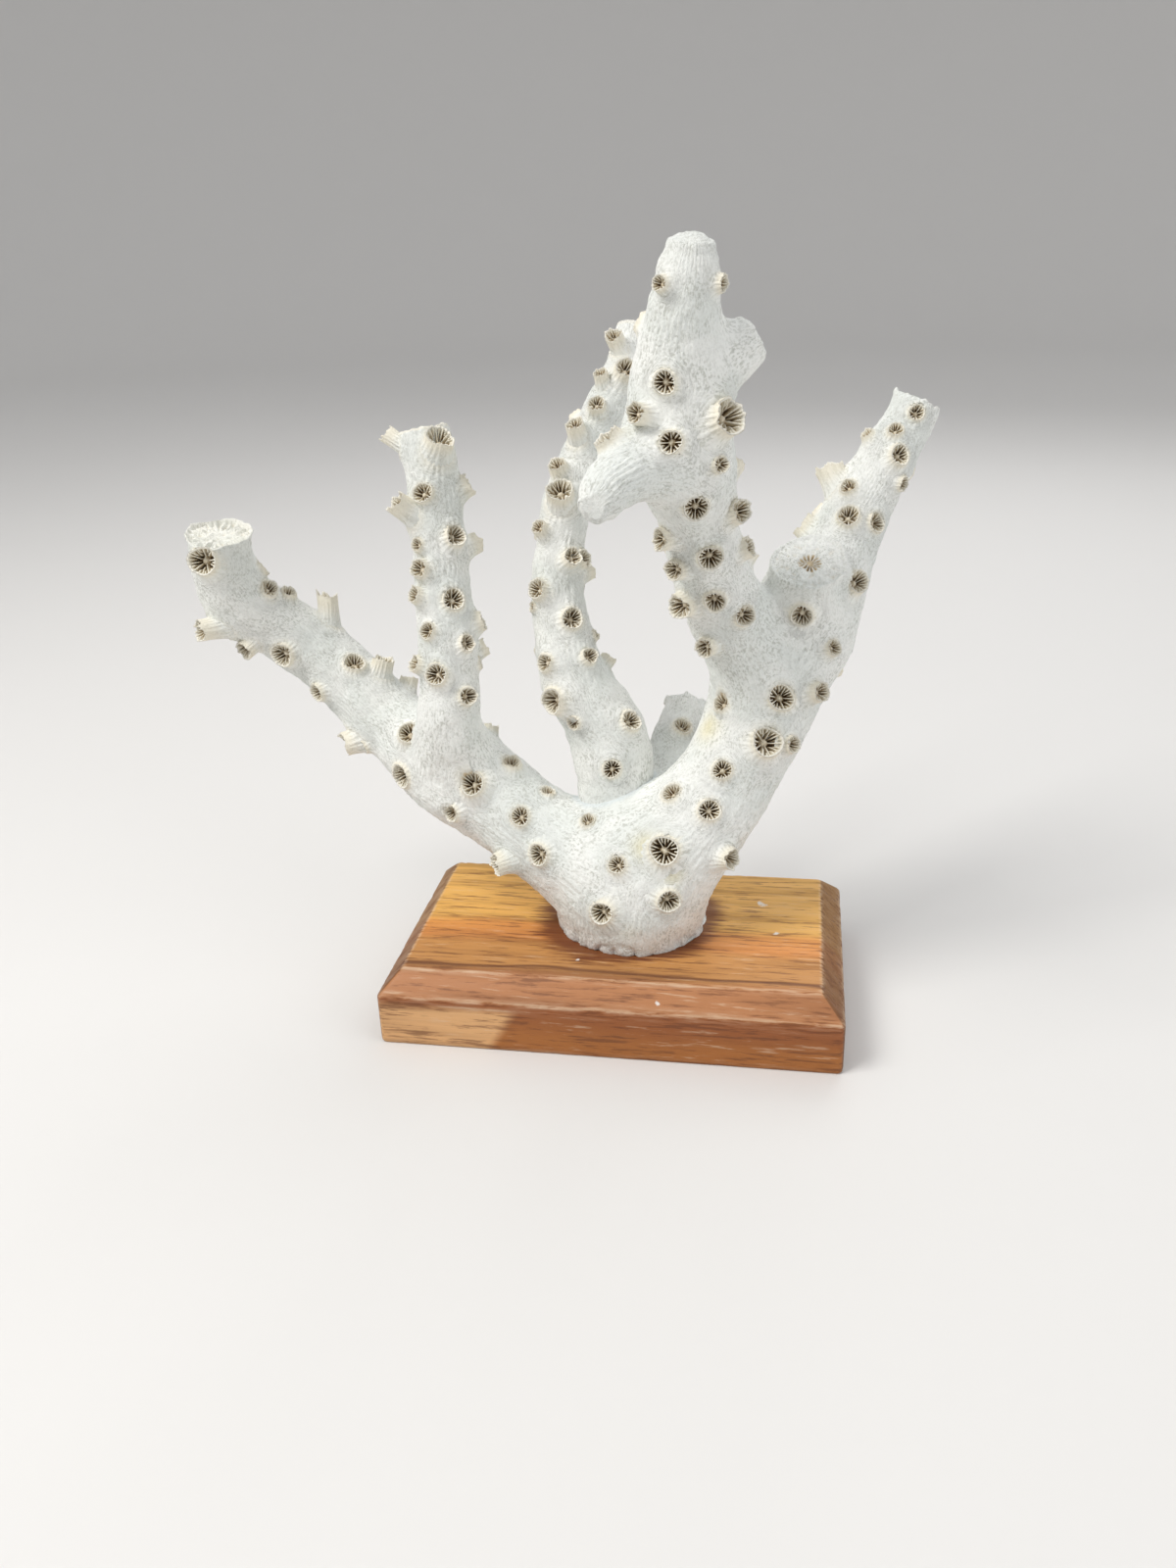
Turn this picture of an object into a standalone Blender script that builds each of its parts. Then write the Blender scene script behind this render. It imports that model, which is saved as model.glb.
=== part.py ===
# Branching coral standing on a chamfered wooden plaque.
# Origin: middle of the plaque's underside. +X to the viewer's right, +Y to the back, +Z up.
# All sizes below are millimetres. The meshes are made in metres.
import math

import bmesh
import bpy
import numpy as np
from mathutils import Matrix, Vector

MM = 0.001
GAP = 0.3  # clearance between touching pieces

PLAQUE_WIDTH = 108.0
PLAQUE_DEPTH = 64.0
PLAQUE_HEIGHT = 18.0
PLAQUE_CHAMFER = 5.2
FOOT_BOTTOM = PLAQUE_HEIGHT + GAP

LIMB_SIDES = 10
RING_STEP = 8.0  # distance between two rings of a limb
CURVE_STEPS = 24  # fine steps between two stations, for measuring along the limb

# Every limb is a tube through stations: x, y, z and radius.
LIMBS = {
    "foot": [(2, 3, 15, 18), (2, 2, 22, 17), (3, 0, 31, 15), (4, 0, 38, 14)],
    "left": [(2, -1, 31, 13), (-17, 1, 39, 11.5), (-33, 5, 49, 10.8), (-48, 9, 57, 9.8), (-62, 13, 67, 8.4),
             (-75, 16, 79, 8.2), (-86, 15, 88, 8.2), (-93, 11, 95, 8.2), (-95, 8, 103, 7.6), (-94, 6, 112, 7)],
    "upright": [(-41, 5, 56, 9.5), (-40, -1, 69, 7.4), (-39, -1, 79, 7), (-39, 0, 89, 6.8), (-40, 3, 101, 6.4),
                (-41, 6, 113, 6.2), (-42, 9, 125, 5.8), (-43.5, 11, 135, 5.4)],
    "middle": [(-4, 5, 41, 6), (-3, 6, 48, 8.4), (-2, 7, 56, 9.4), (-5, 8, 68, 9.2), (-11, 7, 79, 7.8),
               (-14, 9, 92, 6.2), (-15, 12, 104, 5.7), (-13, 16, 117, 5.6), (-9, 21, 128, 5.2),
               (-4, 25, 139, 4.9), (0, 29, 147, 4.5), (1, 32, 154, 3.5)],
    "right": [(5, -3, 30, 13), (16, -2, 44, 12.2), (25, 3, 56, 11.6), (32, 9, 70, 11.4), (38, 13, 83, 10.8),
              (44, 18, 94, 9.6), (49, 23, 104, 8.2), (53, 28, 114, 7.4), (59, 31, 125, 6.5), (62.5, 34, 131, 5.7),
              (65.5, 36, 136.5, 5.4)],
    "lobe": [(42, 17, 87, 8.5), (42, 12.5, 97, 8.2), (42.5, 7, 107, 7.5)],
    "front": [(33, 9, 78, 9), (27, 4, 91, 8.4), (23, -1, 101, 8.1), (21, -7, 111, 7.8), (19.5, -12, 121, 7.8),
              (18, -16, 129, 8.2), (16.5, -20, 139, 8.4), (16, -22, 149, 7.6), (16.5, -24, 157, 6.8),
              (18, -26, 165, 6), (19, -27, 171.6, 5.4), (19.2, -27.3, 174.4, 3.4)],
    "knob": [(16, -20, 135, 7.5), (10, -29, 134.5, 6.4), (6, -35.5, 132.5, 5.2), (3.5, -39.5, 130, 4.2),
             (2.6, -41, 129, 2.8)],
    "spur": [(17, -21, 149, 5), (23, -19.5, 151.2, 4.2), (28, -17.5, 154.2, 4.6)],
    "stub": [(7, 10, 42, 8.5), (10, 26, 51, 6.6), (13, 39, 61, 5.8)],
}

# Where a limb passes from one piece to the next, in mm along it.
LEFT_CUT = 34
RIGHT_CUT = 31
UPRIGHT_CUT = 19
FRONT_CUT = 17
STUB_CUT = 16

# The cups seen in the photo: mm along the limb, degrees round it from the viewer's side, rim radius, height.
CUPS = {
    "foot": [(11, -20, 2.8, 1)],
    "left": [(14, 70, 1.8, 1), (20, 10, 2.6, 1), (26, -30, 2.8, 3.5), (28, 80, 1.8, 0.6), (29, 30, 2.4, 0.8),
             (38, 80, 2.4, 1.2), (42, 30, 3, 0.8), (44, -20, 2.2, 0.8), (59, -30, 3.2, 1), (63, 30, 2.6, 1),
             (71, -40, 2.2, 0.8), (74, -65, 3.2, 4), (81, 90, 2.6, 3.5), (86, 55, 2.6, 1.2), (88, -30, 2.4, 1.5),
             (98, 100, 2.6, 7), (102, -10, 3, 1.5), (110, 90, 2, 1.5), (112, -35, 2.4, 3), (117, 80, 2.4, 1.5),
             (118, -40, 2.6, 6), (131, -5, 3.4, 2.5)],
    "upright": [(24, 45, 2.2, 1.5), (29, -10, 2.6, 1.5), (30, -50, 2, 2), (30, 85, 1.6, 0.8), (35, 50, 2, 1.2),
                (38, -20, 2, 1), (38, 80, 2.6, 1.2), (44, 35, 2.6, 0.8), (46, -40, 2, 2.5), (52, -20, 2.2, 2),
                (57, -30, 1.6, 1), (58, 50, 2.6, 1.2), (64, -45, 2.8, 5), (68, -10, 2.4, 1.5),
                (69, 105, 2.6, 2.5), (78, 40, 3.2, 3), (78, -80, 2, 5)],
    "middle": [(19, 5, 2.2, 1), (27, 55, 2.6, 1.2), (35, -20, 1.8, 1), (39, -30, 3.2, 2), (45, 50, 2, 1.8),
               (47, -30, 2.2, 1.2), (50, 95, 1.4, 1), (55, 35, 2.6, 1.2), (58, -55, 1.2, 1), (61, -25, 2.4, 2.5),
               (69, 30, 2.2, 3), (69, 75, 2.2, 2), (73, -30, 1.8, 3), (81, -10, 3, 3.5), (87, -35, 2.2, 3),
               (95, -30, 2.2, 4.5), (103, -15, 2, 2.5), (109, -35, 1.6, 3), (112, 5, 2.6, 2.5),
               (117, -30, 2, 4)],
    "right": [(7, 20, 2.8, 1.5), (15, -20, 3.4, 1), (20, 40, 2.6, 2.5), (24, -60, 2.4, 0.6), (26, -10, 2.6, 1),
              (27, 35, 2.4, 2), (36, -20, 2.4, 0.8), (46, 10, 3.6, 1.2), (48, 45, 2.2, 1.5),
              (50, -55, 2.2, 0.8), (57, 5, 3, 0.8), (60, -90, 2.8, 2), (60, 40, 2.4, 3), (71, 40, 2, 1.5),
              (86, 30, 2.6, 2), (94, -90, 2.8, 3), (98, -15, 2.6, 1.5), (100, 30, 2.4, 0.8),
              (106, -40, 2, 0.8), (106, -90, 3.2, 4.5), (114, 40, 2, 1.2), (116, 10, 2.4, 1),
              (118, -80, 1.6, 1.5), (120, -15, 3, 1)],
    "lobe": [(11, -5, 2.6, 1.5)],
    "front": [(22, -30, 2.2, 3), (26, 40, 2.4, 1), (34, -40, 2.8, 3.5), (35, 5, 2.4, 1.5), (42, 70, 2.2, 2.5),
              (43, -40, 2.2, 2.5), (46, 10, 2.6, 1.5), (50, -50, 2.4, 3), (53, 60, 2.6, 3), (59, 5, 2.4, 1.5),
              (65, 50, 1.6, 1.5), (71, -5, 2.2, 1.5), (73, 70, 3.4, 3), (76, -40, 2, 3.5), (82, -10, 2.2, 1.5),
              (98, -40, 1.8, 1.5), (98, 75, 2, 1.5)],
    "knob": [(15, 90, 2.6, 2)],
    "stub": [(25, 0, 2.4, 1)],
}

# The side away from the viewer: first and last mm along each limb, and the distance between two cups.
BACK_CUPS = {"left": (40, 128, 8.5), "upright": (24, 70, 8), "middle": (31, 115, 8.5), "right": (36, 120, 8),
             "front": (24, 98, 8)}
BACK_ROUNDS = (180, 125, 235)  # degrees round the limb, taken in turn
BACK_RADII = (2.4, 2, 2.8, 2.2)
BACK_HEIGHTS = (1.2, 2.5, 1, 1.8, 3)

CUP_SIDES = 6
CUP_ROOT = 1.6  # how far a cup's wall goes down into the limb
CUP_FLARE = 1.35  # a cup's foot against its rim
PIT_SHARE = 0.74  # the opening against the rim
PIT_DEPTH = 2.4
BRANCH_TIPS = {"left": 5.2, "upright": 3.2, "middle": 2, "right": 3.4, "lobe": 5.4, "front": 2.6, "knob": 3.6,
               "spur": 2.4, "stub": 3.2}  # radius of the shallow pit in each worn tip


def clear_scene():
    for old in list(bpy.data.objects):
        bpy.data.objects.remove(old)


def surface(name, colour, roughness):
    made = bpy.data.materials.new(name)
    made.use_nodes = True
    shader = made.node_tree.nodes["Principled BSDF"]
    shader.inputs["Base Color"].default_value = (*colour, 1)
    shader.inputs["Roughness"].default_value = roughness
    shader.inputs["Metallic"].default_value = 0
    return made


class Limb:
    # A smooth path through the stations, with a radius, a heading and a front direction at every point.
    def __init__(self, stations):
        given = np.array(stations, float)
        points = np.vstack([2 * given[0] - given[1], given, 2 * given[-1] - given[-2]])
        steps = np.linspace(0, 1, CURVE_STEPS, endpoint=False)[:, None]
        spans = []
        for before, start, end, after in zip(points, points[1:], points[2:], points[3:]):
            spans.append(0.5 * (2 * start + (end - before) * steps
                                + (2 * before - 5 * start + 4 * end - after) * steps ** 2
                                + (3 * start - before - 3 * end + after) * steps ** 3))
        self.path = np.vstack(spans + [points[-2][None]])
        lengths = np.linalg.norm(np.diff(self.path[:, :3], axis=0), axis=1)
        self.along = np.concatenate([[0], np.cumsum(lengths)])
        self.length = self.along[-1]

    def at(self, along):
        near = [Vector([np.interp(along + shift, self.along, self.path[:, k]) for k in range(3)])
                for shift in (-0.5, 0, 0.5)]
        heading = (near[2] - near[0]).normalized()
        front = Vector((0, -1, 0))
        front = (front - front.dot(heading) * heading).normalized()
        radius = float(np.interp(along, self.along, self.path[:, 3]))
        return near[1], radius, heading, front, heading.cross(front)

    def outward(self, along, degrees):
        _, _, _, front, side = self.at(along)
        turn = math.radians(degrees)
        return front * math.cos(turn) + side * math.sin(turn)


def add_tube(mesh, limb, start, end, extra=0.0):
    # Rings of points round the limb, bridged with four-sided faces and closed at both ends.
    rings = max(2, round((end - start) / RING_STEP) + 1)
    loops = []
    for along in np.linspace(start, end, rings):
        centre, radius, _, _, _ = limb.at(along)
        loops.append([mesh.verts.new((centre + (radius + extra) * limb.outward(along, 360 * k / LIMB_SIDES)) * MM)
                      for k in range(LIMB_SIDES)])
    for lower, upper in zip(loops, loops[1:]):
        for k in range(LIMB_SIDES):
            after = (k + 1) % LIMB_SIDES
            mesh.faces.new((lower[k], lower[after], upper[after], upper[k]))
    mesh.faces.new(list(reversed(loops[0])))
    mesh.faces.new(loops[-1])


def turned_to(axis, middle):
    return Matrix.Translation(middle * MM) @ axis.to_track_quat("Z", "Y").to_matrix().to_4x4()


def cup_axis(limb, along, degrees, height):
    # The taller a cup, the more it leans to the limb's tip.
    lean = math.radians(min(40, 10 + 5 * height))
    return limb.outward(along, degrees) * math.cos(lean) + limb.at(along)[2] * math.sin(lean)


def add_cup(walls, pits, limb, along, degrees, rim, height):
    centre, radius, _, _, _ = limb.at(along)
    root = centre + limb.outward(along, degrees) * radius
    axis = cup_axis(limb, along, degrees, height)
    bmesh.ops.create_cone(walls, cap_ends=True, segments=CUP_SIDES, radius1=rim * CUP_FLARE * MM,
                          radius2=rim * MM, depth=(height + CUP_ROOT) * MM,
                          matrix=turned_to(axis, root + axis * (height - CUP_ROOT) / 2))
    add_pit(pits, root + axis * height, axis, rim * PIT_SHARE, PIT_DEPTH)


def add_pit(pits, mouth, axis, radius, depth):
    # A cone with its point down in the coral, whose top stands a little over the mouth.
    over = 0.25
    widened = radius * (depth + over) / depth
    bmesh.ops.create_cone(pits, cap_ends=True, segments=CUP_SIDES, radius1=0, radius2=widened * MM,
                          depth=(depth + over) * MM, matrix=turned_to(axis, mouth + axis * (over - depth) / 2))


def back_cups(first, last, gap):
    count = int((last - first) / gap) + 1
    return [(first + k * gap, BACK_ROUNDS[k % 3], BACK_RADII[k % 4], BACK_HEIGHTS[k % 5]) for k in range(count)]


def new_object(name, mesh, material=None):
    bmesh.ops.recalc_face_normals(mesh, faces=mesh.faces)
    data = bpy.data.meshes.new(name)
    mesh.to_mesh(data)
    mesh.free()
    made = bpy.data.objects.new(name, data)
    bpy.context.scene.collection.objects.link(made)
    if material:
        data.materials.append(material)
        data.shade_smooth()
        data.set_sharp_from_angle(angle=math.radians(40))
    else:
        made.hide_render = True
        made.display_type = "WIRE"
    return made


def combine(target, operation, cutter):
    modifier = target.modifiers.new(cutter.name, "BOOLEAN")
    modifier.operation = operation
    modifier.solver = "EXACT"
    modifier.use_self = True
    modifier.object = cutter


def coral_piece(name, material, tubes):
    # tubes: limb name, start and end along it. The first is the body, and the rest and all cups join it.
    body, walls, pits = bmesh.new(), bmesh.new(), bmesh.new()
    for number, (limb_name, start, end) in enumerate(tubes):
        limb = paths[limb_name]
        add_tube(walls if number else body, limb, start, end)
        seen = CUPS.get(limb_name, [])
        hidden = back_cups(*BACK_CUPS[limb_name]) if limb_name in BACK_CUPS else []
        for along, degrees, rim, height in seen + hidden:
            if start < along < end:
                add_cup(walls, pits, limb, along, degrees, rim, height)
        if end == limb.length and limb_name in BRANCH_TIPS:
            centre, _, heading, _, _ = limb.at(end)
            add_pit(pits, centre, heading, BRANCH_TIPS[limb_name], PIT_DEPTH)
    piece = new_object(name, body, material)
    combine(piece, "UNION", new_object(name + "_walls", walls))
    combine(piece, "DIFFERENCE", new_object(name + "_pits", pits))
    return piece


def clear_of(piece, tubes):
    # Cuts a piece back to GAP from the limbs that it leans on.
    for limb_name, start, end in tubes:
        swollen = bmesh.new()
        add_tube(swollen, paths[limb_name], start, end, GAP)
        combine(piece, "DIFFERENCE", new_object(f"{piece.name}_clear_{limb_name}", swollen))


def flat_foot(piece):
    # The foot is cut off flat just over the plaque.
    block = bmesh.new()
    reach = 60.0
    bmesh.ops.create_cube(block, size=1, matrix=Matrix.Translation((0, 0, (FOOT_BOTTOM - reach / 2) * MM))
                          @ Matrix.Diagonal((reach * MM, reach * MM, reach * MM, 1)))
    combine(piece, "DIFFERENCE", new_object("foot_level", block))


def plaque_board(material):
    mesh = bmesh.new()
    bmesh.ops.create_cube(mesh, size=1, matrix=Matrix.Translation((0, 0, PLAQUE_HEIGHT / 2 * MM))
                          @ Matrix.Diagonal((PLAQUE_WIDTH * MM, PLAQUE_DEPTH * MM, PLAQUE_HEIGHT * MM, 1)))
    upper = [edge for edge in mesh.edges if all(v.co.z > PLAQUE_HEIGHT * MM * 0.9 for v in edge.verts)]
    bmesh.ops.bevel(mesh, geom=upper, offset=PLAQUE_CHAMFER * MM, offset_type="OFFSET", segments=1,
                    affect="EDGES")
    return new_object("plaque", mesh, material)


clear_scene()
paths = {name: Limb(stations) for name, stations in LIMBS.items()}
chalk = surface("coral_white", (0.78, 0.77, 0.72), 0.85)
warm_chalk = surface("coral_cream", (0.76, 0.73, 0.65), 0.85)
wood = surface("plaque_wood", (0.33, 0.15, 0.06), 0.55)

plaque_board(wood)
trunk = coral_piece("trunk", chalk, [("foot", 0, paths["foot"].length), ("left", 0, LEFT_CUT),
                                     ("right", 0, RIGHT_CUT), ("stub", 0, STUB_CUT)])
flat_foot(trunk)
coral_piece("left_branch", chalk, [("left", LEFT_CUT + GAP, paths["left"].length), ("upright", 0, UPRIGHT_CUT)])
coral_piece("left_upright", warm_chalk, [("upright", UPRIGHT_CUT + GAP, paths["upright"].length)])
coral_piece("right_branch", chalk, [("right", RIGHT_CUT + GAP, paths["right"].length),
                                    ("lobe", 0, paths["lobe"].length), ("front", 0, FRONT_CUT)])
coral_piece("front_branch", warm_chalk, [("front", FRONT_CUT + GAP, paths["front"].length),
                                         ("knob", 0, paths["knob"].length), ("spur", 0, paths["spur"].length)])
coral_piece("back_stub", chalk, [("stub", STUB_CUT + GAP, paths["stub"].length)])
middle = coral_piece("middle_branch", warm_chalk, [("middle", 0, paths["middle"].length)])
clear_of(middle, [("foot", 0, paths["foot"].length), ("left", 0, LEFT_CUT), ("right", 0, 60),
                  ("stub", 0, paths["stub"].length)])
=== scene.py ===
import bpy
import math
import numpy as np
from mathutils import Matrix, Vector


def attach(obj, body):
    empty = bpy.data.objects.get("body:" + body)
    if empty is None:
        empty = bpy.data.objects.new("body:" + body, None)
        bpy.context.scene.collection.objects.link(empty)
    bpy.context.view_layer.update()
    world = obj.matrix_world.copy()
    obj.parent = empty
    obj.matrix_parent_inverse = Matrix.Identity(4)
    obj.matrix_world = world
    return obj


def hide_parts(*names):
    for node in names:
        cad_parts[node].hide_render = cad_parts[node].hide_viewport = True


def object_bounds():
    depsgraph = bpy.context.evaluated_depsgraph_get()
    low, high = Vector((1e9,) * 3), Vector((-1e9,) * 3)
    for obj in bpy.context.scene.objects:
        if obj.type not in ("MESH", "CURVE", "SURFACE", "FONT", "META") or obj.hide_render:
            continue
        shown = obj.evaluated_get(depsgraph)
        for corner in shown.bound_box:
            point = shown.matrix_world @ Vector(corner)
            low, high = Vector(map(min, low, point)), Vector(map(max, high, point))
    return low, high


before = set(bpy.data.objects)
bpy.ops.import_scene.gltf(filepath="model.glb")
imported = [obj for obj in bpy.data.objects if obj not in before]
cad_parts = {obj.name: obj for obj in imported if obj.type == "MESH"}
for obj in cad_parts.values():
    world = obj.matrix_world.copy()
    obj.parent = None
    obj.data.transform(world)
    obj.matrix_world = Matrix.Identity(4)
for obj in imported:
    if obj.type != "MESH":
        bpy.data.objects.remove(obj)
cadLow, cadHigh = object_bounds()
mm = 0.001
sharpAngle = 65  # degrees between two faces that make a hard edge
print("frame loaded")

# Limbs: the stations of each limb's middle line, x y z radius in mm, foot to tip
limbs = {
    "foot": [(2, 3, 15, 18), (2, 2, 22, 17), (3, 0, 31, 15), (4, 0, 38, 14)],
    "left": [(2, -1, 31, 13), (-17, 1, 39, 11.5), (-33, 5, 49, 10.8), (-48, 9, 57, 9.8), (-62, 13, 67, 8.4),
             (-75, 16, 79, 8.2), (-86, 15, 88, 8.2), (-93, 11, 95, 8.2), (-95, 8, 103, 7.6), (-94, 6, 112.8, 7)],
    "upright": [(-41, 5, 56, 9.5), (-40, -1, 69, 7.4), (-39, -1, 79, 7), (-39, 0, 89, 6.8), (-40, 3, 101, 6.4),
                (-41, 6, 113, 6.2), (-42, 9, 125, 5.8), (-43.5, 11, 135, 5.4)],
    "middle": [(-4, 5, 41, 6), (-3, 6, 48, 8.4), (-2, 7, 56, 9.4), (-5, 8, 68, 9.2), (-11, 7, 79, 7.8),
               (-14, 9, 92, 6.2), (-15, 12, 104, 5.7), (-13, 16, 117, 5.6), (-9, 21, 128, 5.2),
               (-4, 25, 139, 4.9), (0, 29, 147, 4.5), (1, 32, 154, 3.5)],
    "right": [(5, -3, 30, 13), (16, -2, 44, 12.2), (25, 3, 56, 11.6), (32, 9, 70, 11.4), (38, 13, 83, 10.8),
              (44, 18, 94, 9.6), (49, 23, 104, 8.2), (53, 28, 114, 7.4), (59, 31, 125, 6.5), (62.5, 34, 131, 5.7),
              (65.5, 36, 136.5, 5.4)],
    "lobe": [(42, 17, 87, 8.5), (42, 12.5, 97, 8.2), (42.5, 7, 107, 7.5)],
    "front": [(33, 9, 78, 9), (27, 4, 91, 8.4), (23, -1, 101, 8.1), (21, -7, 111, 7.8), (19.5, -12, 121, 7.8),
              (18, -16, 129, 8.2), (16.5, -20, 139, 8.4), (16, -22, 149, 7.6), (16.5, -24, 157, 6.8),
              (18.4, -26.3, 166.5, 5.9), (19, -27, 169.8, 5.2), (19.2, -27.3, 171.7, 4.4)],
    "knob": [(16, -20, 135, 7.5), (10, -29, 134.5, 6.4), (6, -35.5, 132.5, 5.2), (3.5, -39.5, 130, 4.2),
             (2.6, -41, 129, 2.8)],
    "spur": [(17, -21, 149, 5), (23, -19.5, 151.2, 4.3), (26.5, -18.1, 153.3, 4.8),
             (29, -17.1, 154.8, 4)],
    "stub": [(7, 10, 42, 8.5), (10, 26, 51, 6.6), (13, 39, 61, 5.8)],
}

# Which limbs grew together, so that their skins flow into one another
grownTogether = {
    "foot": ["left", "right", "stub"], "left": ["foot", "right", "stub", "upright"], "upright": ["left"],
    "middle": [], "right": ["foot", "left", "stub", "lobe", "front"], "lobe": ["right", "front"],
    "front": ["right", "lobe", "knob", "spur"], "knob": ["front"], "spur": ["front"],
    "stub": ["foot", "left", "right"],
}

# Cups in the photo: mm along the limb, degrees round it from the viewer's side, rim radius, height, and
# at some tips how many degrees the cup leans to the tip
seenCups = {
    "foot": [(17, -15, 2.8, 1)],
    "left": [(14, 62, 1.8, 1), (20.5, 8, 2.6, 1), (26, -32, 2.8, 3.5), (28, 82, 1.8, 0.6),
             (29, 30, 2.4, 0.8), (38.5, 75, 2.4, 1.2), (42, 28, 3, 0.8), (43, -15, 2.2, 0.8),
             (58.5, -20, 3.2, 1), (62.5, 32, 2.6, 1), (71.5, -48, 2.2, 0.8), (73.5, -58, 3.2, 4),
             (81, 85, 2.6, 3.5), (86.5, 55, 2.6, 1.2), (88, -28, 2.4, 1.5), (98, 100, 2.6, 7),
             (102.5, -10, 3, 1.5), (110, 90, 2, 1.5), (112, -35, 2.4, 3), (117, 78, 2.4, 1.5),
             (118.5, -35, 2.6, 6), (133.5, -2, 3.4, 2.5)],
    "upright": [(24, 45, 2.2, 1.5), (29, -8, 2.6, 1.5), (30, 100, 1.6, 0.8), (30.5, -52, 2, 2),
                (35, 52, 2, 1.2), (38, -18, 2, 1), (39, 95, 2.4, 1.6), (44.5, 35, 2.6, 0.8),
                (45.5, -35, 2, 2.5), (51.5, -22, 2.2, 2), (57, -28, 1.6, 1), (58.5, 50, 2.6, 1.2),
                (64, -42, 2.8, 5), (68, -5, 2.4, 1.5), (69, 105, 2.6, 2.5), (78, 40, 3.2, 3, 45),
                (80, -82, 2, 4.5, 42)],
    "middle": [(18, 8, 2.2, 1), (27, 55, 2.6, 1.2), (34, -20, 1.8, 1), (39, -30, 3.2, 2), (45, 50, 2, 1.8),
               (46, -28, 2.2, 1.2), (49.5, 92, 1.4, 1), (54.5, 35, 2.6, 1.2), (58, -50, 1.2, 1),
               (61, -28, 2.4, 2.5), (68, 35, 2.2, 3), (68.5, 68, 2.2, 2), (73.5, -35, 1.8, 3),
               (81, -10, 3, 3.5), (86, -35, 2.2, 3), (95, -30, 2.2, 4.5), (102.5, -15, 2, 2.5),
               (108, -38, 1.6, 3), (111.5, 5, 2.6, 2.5), (117, -30, 2, 4)],
    "right": [(7, -38, 2.2, 0.8), (8, 15, 2.8, 1.5), (15.5, -18, 3.4, 1), (20.5, 42, 2.6, 2.5), (24, -55, 2.4, 0.6),
              (26, -8, 2.6, 1), (35.5, -18, 2.4, 0.8), (45.5, 12, 3.6, 1.2), (47.5, 40, 2.2, 1.5),
              (49.5, -48, 2.2, 0.8), (57.5, 5, 3, 0.8), (59, -98, 2.8, 2), (61, 38, 2.4, 3), (71, 30, 2, 1.5),
              (85, 18, 2.6, 2), (94.5, -92, 2.8, 3), (98.5, -15, 2.6, 1.5), (100.5, 32, 2.4, 0.8),
              (106, -90, 3.2, 4.5), (106, -42, 2, 0.8), (112.5, 44, 1.7, 1.2), (116.5, 8, 2.4, 1),
              (117.5, -70, 1.6, 1.5), (120, -22, 1.8, 1), (127, -2, 1.9, 0.5)],
    "lobe": [(16, -5, 2.6, 1.5)],
    "front": [(21.5, -32, 2.2, 3), (26.5, 35, 2.4, 1), (33.5, -40, 2.8, 3.5), (35, 5, 2.4, 1.5),
              (41.5, 78, 2.2, 2.5), (43, -38, 2.2, 2.5), (46, 12, 2.6, 1.5), (50.5, -48, 2.4, 3),
              (52.5, 62, 2.6, 3), (60, 8, 2.4, 1.5), (67, 40, 1.6, 1.5), (72.5, -2, 2.2, 3),
              (74, 55, 3.4, 3), (76.5, -30, 2, 3.5), (83, -8, 2.2, 1.5), (98.5, -38, 1.5, 1.6),
              (99.5, 70, 1.6, 1.6)],
    "knob": [(15, 90, 2.6, 2)],
    "stub": [(25, 0, 2.4, 1)],
}

# Cups on the side away from the viewer: first and last mm along the limb, and the step between two
backCups = {"left": (40, 128, 8.5), "upright": (24, 70, 8), "middle": (31, 115, 8.5), "right": (36, 120, 8),
            "front": (24, 98, 8)}
backLook = {"rounds": (180, 125, 235), "radii": (2.4, 2, 2.8, 2.2), "heights": (1.2, 2.5, 1, 1.8, 3)}


def cupsOf(limb):
    # The seen cups, then the back ones in turn round the limb. The last two numbers are a seed and the lean
    found = [(*cup[:4], True, *cup[4:]) for cup in seenCups.get(limb, [])]
    if limb in backCups:
        first, last, gap = backCups[limb]
        for k in range(int((last - first) / gap) + 1):
            found.append((first + k * gap, backLook["rounds"][k % 3], backLook["radii"][k % 4],
                          backLook["heights"][k % 5], False))
    number = 100 * sorted(limbs).index(limb)
    return [(*cup[:5], number + k, cup[5] if len(cup) > 5 else min(40, 10 + 5 * cup[3]))
            for k, cup in enumerate(found)]


def unit(vectors):
    # Each vector divided by its length
    return vectors / np.linalg.norm(vectors, axis=-1, keepdims=True)


def ramp(low, high, values):
    # 0 below low, 1 above high, and a smooth S between them
    t = np.clip((values - low) / (high - low), 0, 1)
    return t * t * (3 - 2 * t)


def noise(points, size, seed):
    # A smooth random value from -1 to 1: the corner values of the cell that holds the point, blended by S ramps
    scaled = points / size + 31.7 + 7.3 * seed
    cell = np.floor(scaled).astype(np.int64)
    part = scaled - cell
    part = part * part * (3 - 2 * part)
    total = np.zeros(points.shape[:-1])
    for corner in range(8):
        step = np.array([corner & 1, corner >> 1 & 1, corner >> 2])
        spot = cell + step  # large odd numbers then scramble the corner's place
        key = spot[..., 0] * 374761393 + spot[..., 1] * 668265263 + spot[..., 2] * 2147483647 + seed * 1274126177
        key = (key ^ (key >> 13)) & 0xffffffff
        key = (key * 1103515245 + 12345) & 0xffffffff
        key = (key ^ (key >> 15)) & 0xffffffff
        key = (key * 747796405 + 2891336453) & 0xffffffff
        value = (key >> 8) / 8388607.5 - 1
        weight = np.prod(np.where(step == 1, part, 1 - part), axis=-1)
        total += value * weight
    return total


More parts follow.
